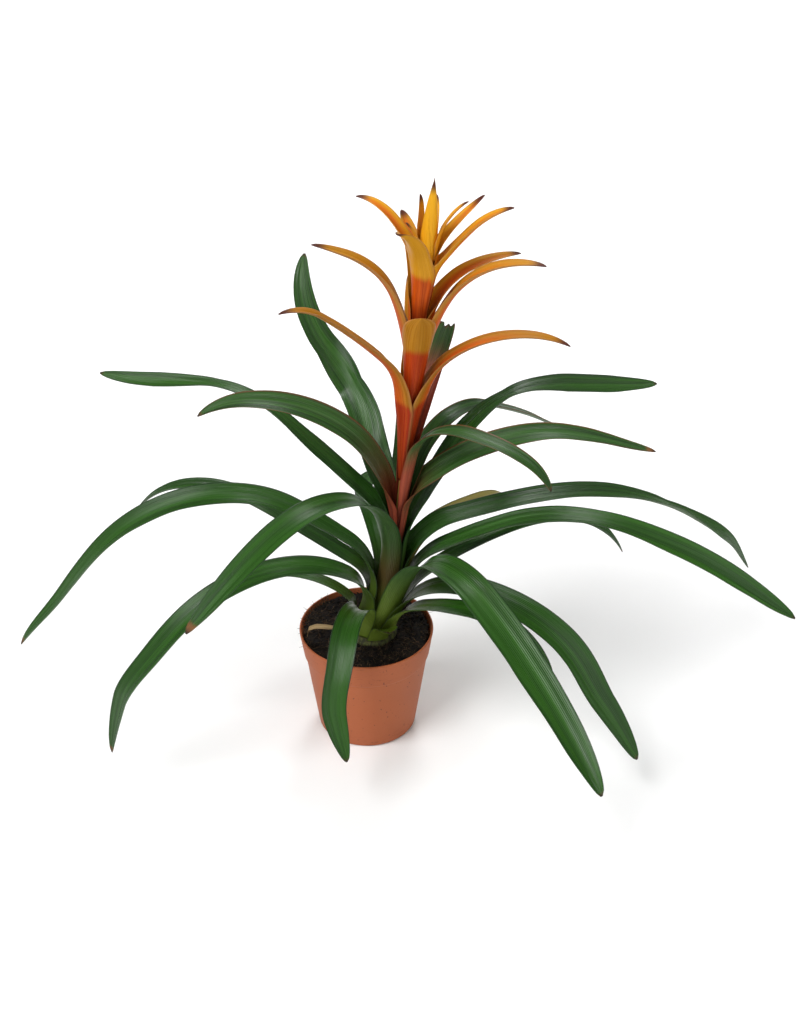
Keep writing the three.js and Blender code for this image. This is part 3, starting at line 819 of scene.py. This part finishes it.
def bend_strap(strap, leaf, name, seed):
    """A copy of a flat strap with its rows on the arch of a leaf, 1 unit = 1 mm.

    The left margin of the leaf comes from the right of the strap, so that the face
    of the strap becomes the upper face of the leaf.
    """
    mesh = strap.data.copy()
    piece = link_piece(name, mesh)
    count = leaf["rows"]
    stations = arch_rows(leaf, count)
    numbers = {PLACE: [], LOOK: [], TINT: []}
    body = piece.vertex_groups.new(name="body")
    length, width = leaf["length"], leaf["width"]
    wave = leaf.get("wave", 0.9)
    extra = {"foot_share": 1.0, "blade_share": 1.0, "tip": TIP_SHARE, "blunt": LEAF_BLUNTNESS}
    shares = [leaf.get(key, usual) for key, usual in extra.items()]
    for vertex in mesh.vertices:
        share, t = -vertex.co.x * 2.0, vertex.co.y
        distance, centre, (ahead, side, upper) = stations[round(t * count)]
        reach = math.hypot(centre.x, centre.y)
        narrow, shorten = end_shape(leaf, t, share)
        wanted = width / 2 * width_share(t, *shares)
        half = min(wanted * narrow, CLASP_LIMIT * reach)
        opened = leaf["channel"] * smooth(distance, 0.0, leaf["sheath"] + reach)
        curl = max(half / reach, opened)
        angle = share * curl
        arc = half / curl
        inward = upper * math.cos(angle) - side * math.sin(angle)
        point = centre + side * (arc * math.sin(angle)) + upper * (arc * (1 - math.cos(angle)))
        free = smooth(distance, leaf["sheath"] * 0.8, leaf["sheath"] + FREE_STRETCH)
        ease = min(half / NARROW_HALF, 1.0)
        pleat = math.cos(share * math.pi * leaf["pleats"]) * PLEAT_HEIGHT * ease * free
        keel = -leaf["keel"] * half * max(1.0 - abs(share) * 2.2, 0.0) * free
        margin = 1.9 if share > 0 else 5.2
        swell = noise.noise(Vector((distance / WAVE_LENGTH, seed * 7.3, margin)))
        ripple = swell * wave * share * share * free * ease
        point = point + inward * (pleat + keel + ripple)
        point = point + ahead * ((shorten - 1.0) * length)
        point.x += lean(point.z)
        vertex.co = point
        left = (length - distance) * MM
        numbers[PLACE].append((share, distance * MM, left))
        past = (distance - leaf.get("line", 0.0)) * MM
        short = left - leaf["dry"] * MM if leaf.get("dry") else 1.0
        numbers[LOOK].append((leaf.get("tone", 0.5), past, short))
        yellow = leaf.get("yellow", 0.0) * smooth(distance, 10.0, 80.0)
        numbers[TINT].append((yellow, blush_at(leaf, distance), leaf.get("bright", 0.5)))
        thick = max(math.sqrt(max(1.0 - share * share, 0.0)), THIN_EDGE)
        body.add([vertex.index], thick, "REPLACE")
    write_numbers(mesh, numbers)
    return piece


def blush_at(leaf, distance):
    """Share of brown-red at a distance: a soft band on leaves, the point of a bract."""
    if "point" in leaf:
        point = leaf["point"]
        if not point:
            return 0.0
        return smooth(distance, leaf["length"] - point * 1.5, leaf["length"] - point * 0.4)
    if "blush" in leaf:
        middle, spread, amount = leaf["blush"]
        return amount * math.exp(-(((distance - middle) / spread) ** 2))
    return 0.0


# %% Giving a blade its thickness
def thicken(piece, thick_mm):
    """Solidify, thin at the margins, with the underside in the second material."""
    solid = piece.modifiers.new("thickness", "SOLIDIFY")
    solid.thickness = thick_mm
    solid.offset = 0.0
    solid.vertex_group = "body"
    solid.thickness_vertex_group = 0.25
    solid.material_offset = 1
    solid.material_offset_rim = 0
    apply_all(piece)
    edit_all(lambda: bpy.ops.mesh.remove_doubles(threshold=0.001))
    for vertex in piece.data.vertices:
        vertex.co = vertex.co * MM
    piece.vertex_groups.clear()
    bpy.ops.object.shade_smooth()


def make_blades(prefix, node_prefix, leaves, strap, rows, slot_name, materials, **shape):
    """Every blade of one kind, each a copy of the strap on its own arch."""
    made = []
    for index, leaf in enumerate(leaves, 1):
        leaf = dict(shape, rows=rows, **leaf)
        name = f"{prefix}_{index:02d}"
        piece = bend_strap(strap, leaf, name, index + len(prefix))
        paint(piece, *materials)
        thicken(piece, BLADE_THICK * 0.9)
        settle(piece, [f"{node_prefix}_{index:02d}"])
        made.append(piece)
    return made


# %% The rosette
green = make_blades(
    "rosette_leaf", "leaf", rosette, leaf_strap, LEAF_ROWS, "leaf_blade", (leaf_upper, leaf_under),
    channel=LEAF_CHANNEL, pleats=4.0, keel=0.05, dry=2.0,
)
print("rosette leaves:", len(green), "faces each:", len(green[-1].data.polygons))

# %% The leaves on the flower stem
red_foot = make_blades(
    "stem_blade", "stem_leaf", stem_leaves, leaf_strap, LEAF_ROWS, "stem_leaf_blade",
    (stem_leaf_upper, stem_leaf_under), channel=LEAF_CHANNEL, pleats=4.0, keel=0.05, dry=2.0,
)
print("stem leaves:", len(red_foot))

# %% The bracts
for leaf in bracts:
    leaf["bright"] = smooth(leaf["foot"], 170.0, 390.0)
    leaf.setdefault("yellow", 0.85)
    leaf.setdefault("blade_share", 0.7)
coloured = make_blades(
    "flower_bract", "bract", bracts, bract_strap, BRACT_ROWS, "bract",
    (bract_upper, bract_under), channel=BRACT_CHANNEL, pleats=3.0, keel=0.14,
    foot_share=0.6, wave=0.6, blunt=BRACT_BLUNTNESS,
)
print("bracts:", len(coloured))

# %% [markdown]
# ## The closed bud
#
# Above the last open bracts stands a bud of young bracts still rolled round each
# other. It starts as a cylinder with many rings, and each ring is scaled to the
# swelling outline. Low spiral folds show where one rolled bract laps the next.

# %% Bud
BUD_SIDES = 48
BUD_RINGS = 48
BUD_LAPS = 3
BUD_TWIST = 1.1
FOLD_DEPTH = 0.10
bpy.ops.object.select_all(action="DESELECT")
bpy.ops.mesh.primitive_cylinder_add(
    vertices=BUD_SIDES, radius=1.0, depth=1.0, end_fill_type="TRIFAN", location=(0.0, 0.0, 0.5)
)
bud = bpy.context.object
bud.name = "rolled_bud"
bpy.ops.object.transform_apply(location=True)
bpy.ops.object.mode_set(mode="EDIT")
bpy.ops.mesh.select_mode(type="EDGE")
bpy.ops.mesh.select_all(action="DESELECT")
bpy.ops.object.mode_set(mode="OBJECT")
for edge in bud.data.edges:
    a, b = (bud.data.vertices[i].co for i in edge.vertices)
    edge.select = abs(a.z - b.z) > 0.9 and math.hypot(a.x, a.y) > 0.5
bpy.ops.object.mode_set(mode="EDIT")
bpy.ops.mesh.subdivide(number_cuts=BUD_RINGS - 1)
bpy.ops.object.mode_set(mode="OBJECT")
bud_numbers = {PLACE: [], LOOK: [], TINT: []}
for vertex in bud.data.vertices:
    share = vertex.co.z
    around = math.atan2(vertex.co.y, vertex.co.x)
    out = math.hypot(vertex.co.x, vertex.co.y)
    lap = (around / (2 * math.pi) * BUD_LAPS + share * BUD_TWIST + 0.15) % 1.0
    edge = smooth(1.0 - lap, 0.0, 0.12)
    fold = 1.0 + FOLD_DEPTH * smooth(share, 0.1, 0.5) * (lap - 0.5) * edge
    ring = bud_radius(share) * out * fold
    z = BUD_FOOT + BUD_LENGTH * share
    vertex.co = Vector(
        (ring * math.cos(around) + lean(z), ring * math.sin(around), z)
    ) * MM
    height = BUD_LENGTH * share * MM
    bud_numbers[PLACE].append((lap * 1.2 - 0.6, height, (1 - share) * BUD_LENGTH * MM))
    bud_numbers[LOOK].append((0.2, height - 0.012, 1.0))
    bud_numbers[TINT].append((0.0, smooth(share, 0.86, 0.94), 1.0))
write_numbers(bud.data, bud_numbers)
pick(bud)
bpy.ops.object.shade_smooth()
paint(bud, bract_upper)
settle(bud, ["bud"])
print("bud faces:", len(bud.data.polygons))

# %% [markdown]
# ## The pot
#
# A nursery pot is one thin moulding of matte plastic: a tapering wall, a small step,
# and a collar that stiffens the mouth. It grows from a flat disc by extruding and
# scaling the top ring, the way a potter pulls up a wall: up the outside, over the
# lip, and down the inside to the floor. A bevel rounds its corners.

# %% Pot by extrusion
POT_SIDES = 160
POT_BASE_RADIUS = 42.8
LIP = (58.2, 103.0)
LEDGE = (54.5, 79.2)
POT = [
    (44.0, 1.2), (51.0, 50.0), (54.85, 77.6), (56.27, 79.0), (56.9, 83.0),
    (59.8, 101.8), (59.4, 103.0), LIP, LEDGE, (53.1, 77.4), (42.3, 2.5),
]
bpy.ops.object.select_all(action="DESELECT")
bpy.ops.mesh.primitive_circle_add(
    vertices=POT_SIDES, radius=POT_BASE_RADIUS * MM, fill_type="NGON", location=(0.0, 0.0, 0.0)
)
pot = bpy.context.object
pot.name = "nursery_pot"
bpy.ops.object.mode_set(mode="EDIT")
bpy.ops.mesh.select_all(action="SELECT")
radius_now, height_now = POT_BASE_RADIUS, 0.0
for radius, height in POT:
    bpy.ops.mesh.extrude_region_move(
        TRANSFORM_OT_translate={"value": (0.0, 0.0, (height - height_now) * MM)}
    )
    grow = radius / radius_now
    bpy.ops.transform.resize(value=(grow, grow, 1.0), center_override=(0.0, 0.0, height * MM))
    radius_now, height_now = radius, height
bpy.ops.mesh.inset(thickness=20 * MM)
bpy.ops.mesh.select_all(action="SELECT")
bpy.ops.mesh.normals_make_consistent(inside=False)
bpy.ops.object.mode_set(mode="OBJECT")
bevel = pot.modifiers.new("rounded", "BEVEL")
bevel.width = 0.5 * MM
bevel.segments = 3
bevel.limit_method = "ANGLE"
bevel.angle_limit = math.radians(18)
apply_all(pot)
bpy.ops.object.shade_smooth_by_angle(angle=math.radians(35))
print("pot faces:", len(pot.data.polygons))

# %% [markdown]
# The plastic is terracotta coloured right through. It has a faint cloudiness from
# moulding, a fine grain, a hair of shine, and specks and scuffs of dried soil that
# gather near the rim and the foot.

# %% Pot material
pot_plastic, sheet, shader = new_material("pot_plastic", Specular_IOR_Level=0.25)
spot = sheet.place()
x, y, z = sheet.split(spot)
cloud = sheet.noise(spot, 26.0, 3.0)
grain = sheet.noise(spot, 900.0, 2.0)
stretched = sheet.vector(x, y, sheet.times(z, 9.0))
scuff = sheet.step(sheet.noise(stretched, 70.0, 4.0, 0.7), 0.57, 0.68)
speck = sheet.step(sheet.noise(spot, 380.0, 1.0), 0.725, 0.745)
low = sheet.step(z, 0.030, 0.0)
high = sheet.step(z, 0.074, 0.084)
dirt = sheet.times(scuff, sheet.calc("MAXIMUM", low, high))
colour = sheet.mix(cloud, (0.340, 0.088, 0.030), (0.410, 0.114, 0.042))
colour = sheet.mix(sheet.times(dirt, 0.55), colour, (0.170, 0.045, 0.018))
colour = sheet.mix(sheet.times(speck, 0.8), colour, (0.060, 0.026, 0.018))
rough = sheet.calc("MULTIPLY_ADD", cloud, 0.14, 0.50)
connect(sheet, shader, colour, rough, (0.25, 0.0002, grain))
paint(pot, pot_plastic)
settle(pot, ["pot"])
print("material", pot_plastic.name)

# %% [markdown]
# ## Potting mix
#
# The pot is filled with dark, damp peat: a lumpy surface, crumbs on it, and short
# fibres that stick out every way, a few of them over the rim. The surface is a round
# grid pushed up and down by noise. One crumb and one fibre are modelled and copied.

# %% Peat surface
POT_INSIDE = 57.0
PEAT_CELLS = 130
PEAT_DEPTH = 12.0
EDGE_INSET = 0.4
EDGE_BAND = 0.9
WALL_GAP = 0.35
bpy.ops.object.select_all(action="DESELECT")
bpy.ops.mesh.primitive_grid_add(
    x_subdivisions=PEAT_CELLS, y_subdivisions=PEAT_CELLS, size=2.1 * POT_INSIDE * MM
)
peat = bpy.context.object
peat.name = "peat_surface"
for vertex in peat.data.vertices:
    vertex.select = vertex.co.xy.length > POT_INSIDE * MM
for polygon in peat.data.polygons:
    polygon.select = any(peat.data.vertices[i].select for i in polygon.vertices)
for edge in peat.data.edges:
    edge.select = False
bpy.ops.object.mode_set(mode="EDIT")
bpy.ops.mesh.select_mode(type="VERT")
bpy.ops.mesh.delete(type="VERT")
bpy.ops.object.mode_set(mode="OBJECT")


def peat_height(x, y):
    """Height of the peat surface in millimetres, at a place in millimetres."""
    out = math.hypot(x, y)
    lumps = noise.fractal(Vector((x / 9.0, y / 9.0, 2.0)), 0.8, 2.2, 5)
    broad = noise.noise(Vector((x / 30.0, y / 30.0, 7.0)))
    mound = lerp(2.3, 0.0, smooth(out, 15.0, POT_INSIDE))
    back, right = smooth(y, -2.0, 16.0), smooth(x, -22.0, 2.0)
    heap = (0.8 + 3.6 * max(back, 0.6 * right)) * smooth(out, 34.0, 55.0)
    return SOIL_HEIGHT - 0.6 + mound + heap + 1.5 * lumps + 1.2 * broad


for vertex in peat.data.vertices:
    x, y = vertex.co.x / MM, vertex.co.y / MM
    out = math.hypot(x, y)
    limit = POT_INSIDE - EDGE_INSET
    if out > limit - EDGE_BAND:
        x, y = x * limit / out, y * limit / out
    vertex.co = Vector((x, y, peat_height(x, y))) * MM
depth = peat.modifiers.new("depth", "SOLIDIFY")
depth.thickness = PEAT_DEPTH * MM
depth.offset = -1.0
apply_all(peat)
for vertex in peat.data.vertices:
    if vertex.co.z < (SOIL_HEIGHT - 8.0) * MM:
        vertex.co.z = (SOIL_HEIGHT - PEAT_DEPTH) * MM
    out = vertex.co.xy.length / MM
    above = (vertex.co.z / MM - LEDGE[1]) / (LIP[1] - LEDGE[1])
    wall = lerp(LEDGE[0], LIP[0], above) - WALL_GAP
    if out > wall:
        vertex.co.x *= wall / out
        vertex.co.y *= wall / out
bpy.ops.object.shade_smooth()
print("peat faces:", len(peat.data.polygons))


# %% Peat material
def peat_material(name, dark, brown, straw, amount):
    """Dark clods, brown ones, and a share of straw-coloured threads."""
    made, sheet, shader = new_material(name, Specular_IOR_Level=0.12)
    spot = sheet.place()
    clod = sheet.noise(spot, 160.0, 5.0, 0.65)
    thread = sheet.noise(spot, 620.0, 3.0, 0.6)
    colour = sheet.mix(sheet.step(clod, 0.40, 0.66), dark, brown)
    threads = sheet.times(sheet.step(thread, 0.60, 0.72), amount)
    colour = sheet.mix(threads, colour, straw)
    rough = sheet.calc("MULTIPLY_ADD", clod, 0.35, 0.55, clamp=True)
    connect(sheet, shader, colour, rough, (0.9, 0.0012, clod))
    return made


peat_dark = peat_material(
    "peat_dark", (0.005, 0.004, 0.004), (0.020, 0.013, 0.009), (0.09, 0.06, 0.035), 0.25
)
peat_fibre = peat_material(
    "peat_fibre", (0.030, 0.019, 0.012), (0.110, 0.068, 0.040), (0.24, 0.17, 0.10), 0.6
)
paint(peat, peat_dark)
settle(peat, ["potting_mix"])
print("materials", peat_dark.name, peat_fibre.name)

# %% Crumbs
CRUMBS = 760
random.seed(11)
bpy.ops.object.select_all(action="DESELECT")
bpy.ops.mesh.primitive_ico_sphere_add(subdivisions=2, radius=1.0)
crumb = bpy.context.object
crumb.name = "crumb_shape"
crumb_points = [v.co.copy() for v in crumb.data.vertices]
crumb_faces = [tuple(p.vertices) for p in crumb.data.polygons]


def scatter(name, points, faces, placings):
    """One mesh of many copies: placings give (move, turn in radians, sizes, seed)."""
    all_points, all_faces = [], []
    for move, spin, sizes, seed in placings:
        first = len(all_points)
        c, s = math.cos(spin), math.sin(spin)
        for p in points:
            dent = 1.0 + 0.35 * noise.noise(p * 1.7 + Vector((seed, seed * 0.7, 0.0)))
            x, y, z = p.x * sizes[0] * dent, p.y * sizes[1] * dent, p.z * sizes[2] * dent
            all_points.append((Vector((x * c - y * s, x * s + y * c, z)) + move) * MM)
        all_faces.extend(tuple(i + first for i in face) for face in faces)
    return mesh_piece(name, all_points, all_faces)


def soil_place(inner=20.0, outer=55.0):
    """A random place on the peat, clear of the foot of the plant."""
    out = math.sqrt(random.uniform(inner ** 2, outer ** 2))
    around = random.uniform(0.0, 2 * math.pi)
    x, y = out * math.cos(around), out * math.sin(around)
    return Vector((x, y, peat_height(x, y)))


placings = []
for seed in range(CRUMBS):
    size = random.uniform(0.5, 1.5) ** 1.6
    sizes = (size, size * random.uniform(0.6, 1.0), size * random.uniform(0.45, 0.8))
    placings.append((soil_place(), random.uniform(0.0, 6.28), sizes, seed * 1.37))
crumbs = scatter("peat_crumbs", crumb_points, crumb_faces, placings)
bpy.data.objects.remove(crumb)
pick(crumbs)
bpy.ops.object.shade_smooth()
paint(crumbs, peat_dark)
settle(crumbs, ["potting_mix"])
print("crumbs:", len(placings))

# %% Fibres
FIBRE_STEPS = 6
FIBRES = 640
RIM_FIBRES = 60


def fibre(start, heading, rise, length, thick, bend, seed):
    """Points and faces of one thin square-sided fibre that curves as it goes."""
    points, faces = [], []
    centre = start.copy()
    for step in range(FIBRE_STEPS + 1):
        t = step / FIBRE_STEPS
        angle = heading + bend * t
        climb = rise + 0.9 * noise.noise(Vector((t * 2.0, seed, 3.0)))
        level = math.cos(climb)
        ahead = Vector((math.cos(angle) * level, math.sin(angle) * level, math.sin(climb)))
        side = Vector((-math.sin(angle), math.cos(angle), 0.0))
        up = ahead.cross(side)
        half = thick * lerp(1.0, 0.35, t)
        for a, b in ((1, 0), (0, 1), (-1, 0), (0, -1)):
            points.append(centre + side * (half * a) + up * (half * b))
        centre = centre + ahead * (length / FIBRE_STEPS)
    for step in range(FIBRE_STEPS):
        for k in range(4):
            a, b = step * 4 + k, step * 4 + (k + 1) % 4
            faces.append((a, b, b + 4, a + 4))
    last = FIBRE_STEPS * 4
    faces.append((3, 2, 1, 0))
    faces.append((last, last + 1, last + 2, last + 3))
    return points, faces


points, faces = [], []
for seed in range(FIBRES):
    if seed < RIM_FIBRES:
        around = math.radians(random.uniform(125, 205))
        out = random.uniform(51.0, 56.5)
        z = random.uniform(100.5, 103.0)
        spot = Vector((out * math.cos(around), out * math.sin(around), z))
        heading = around + random.uniform(-1.4, 1.4)
        values = (heading, random.uniform(-0.1, 0.6), random.uniform(4, 8))
    else:
        spot = soil_place() + Vector((0.0, 0.0, 0.1))
        values = (random.uniform(0.0, 6.28), random.uniform(-0.25, 0.5), random.uniform(3.0, 11.0))
    thick, bend = random.uniform(0.16, 0.40), random.uniform(-1.4, 1.4)
    new_points, new_faces = fibre(spot, *values, thick, bend, seed * 0.9)
    first = len(points)
    points.extend(p * MM for p in new_points)
    faces.extend(tuple(i + first for i in face) for face in new_faces)
fibres = mesh_piece("peat_fibres", points, faces)
pick(fibres)
edit_all(lambda: bpy.ops.mesh.normals_make_consistent(inside=False))
bpy.ops.object.shade_smooth()
paint(fibres, peat_fibre)
settle(fibres, ["potting_mix"])
print("fibres:", FIBRES)

# %% [markdown]
# ## Rootstock, stem and the withered strip
#
# The rootstock and the flower stem are almost hidden, and their plain solids have
# the right shape, so they stay and only get a material. The dry strip of leaf on the
# soil is one more copy of the strap, curled and papery.

# %% Materials of the hidden pieces
rootstock_skin, sheet, shader = new_material("rootstock_skin", Roughness=0.8)
spot = sheet.place()
x, y, z = sheet.split(spot)
threads = sheet.noise(sheet.vector(x, y, sheet.times(z, 0.2)), 420.0, 4.0)
colour = sheet.mix(sheet.step(threads, 0.35, 0.65), (0.026, 0.026, 0.008), (0.085, 0.095, 0.020))
connect(sheet, shader, colour, bump=(0.6, 0.0008, threads))

stem_skin, sheet, shader = new_material("stem_skin", Roughness=0.45)
spot = sheet.place()
x, y, z = sheet.split(spot)
threads = sheet.noise(sheet.vector(x, y, sheet.times(z, 0.15)), 500.0, 3.0)
colour = sheet.mix(sheet.step(z, 0.20, 0.32), (0.120, 0.170, 0.030), (0.420, 0.120, 0.030))
pale = sheet.times(sheet.step(threads, 0.4, 0.7), 0.3)
connect(sheet, shader, sheet.mix(pale, colour, (0.35, 0.25, 0.08)))

for name, material in (("rootstock", rootstock_skin), ("flower_stem", stem_skin)):
    paint(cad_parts[name], material)
    print("material on", name)

# %% Withered strip
dry_leaf, sheet, shader = new_material("dry_leaf", Roughness=0.75)
b = blade_inputs(sheet, 2.0, 16.0, 0.75, 1.0)
colour = sheet.mix(b["broad"], (0.330, 0.200, 0.085), (0.560, 0.400, 0.200))
colour = sheet.mix(sheet.times(b["margin"], 0.6), colour, (0.180, 0.090, 0.035))
connect(sheet, shader, colour, bump=(0.7, 0.0005, b["height"]))

STRIP = dict(
    turn=-10, length=34, width=8, sheath=0, climb=[3, 3], channel=BRACT_CHANNEL, pleats=2.0,
    keel=0.0, rows=BRACT_ROWS, wave=1.2, height=97.2, radius=0.01,
)


POT_FOOT_RADIUS = 44.0
POT_TOP_RADIUS = 60.0
POT_HEIGHT = 103.0
POT_WALL = 1.8
STRIP_INSET = 4.0
STRIP_TURN = 187


def lay_strip(piece):
    """Moves the strip from the middle of the pot, undoing the lean, to just inside the wall."""
    turn = math.radians(STRIP_TURN)
    outside = POT_FOOT_RADIUS + (POT_TOP_RADIUS - POT_FOOT_RADIUS) / POT_HEIGHT * SOIL_HEIGHT
    radius = outside - POT_WALL - STRIP_INSET
    for vertex in piece.data.vertices:
        vertex.co.x += (radius * math.cos(turn)) * MM - lean(vertex.co.z / MM) * MM
        vertex.co.y += radius * math.sin(turn) * MM


strip = bend_strap(bract_strap, STRIP, "dry_strip", 5)
paint(strip, dry_leaf, dry_leaf)
thicken(strip, 0.5)
lay_strip(strip)
settle(strip, ["withered_strip"])
print("strip faces:", len(strip.data.polygons))

# %% [markdown]
# ## Floor finish and the last steps
#
# The floor is a pale matte sheet with the faintest mottling. The straps were only
# patterns, so they are removed.

# %% Floor material and clearing away
floor_sheet, sheet, shader = new_material("floor_paper", Roughness=0.9)
mottle = sheet.noise(sheet.place(), 3.0, 2.0)
connect(sheet, shader, sheet.mix(mottle, (0.86, 0.86, 0.86), (0.89, 0.89, 0.89)))
floor.data.materials.append(floor_sheet)
for strap in (leaf_strap, bract_strap):
    bpy.data.objects.remove(strap)
bpy.ops.object.select_all(action="DESELECT")
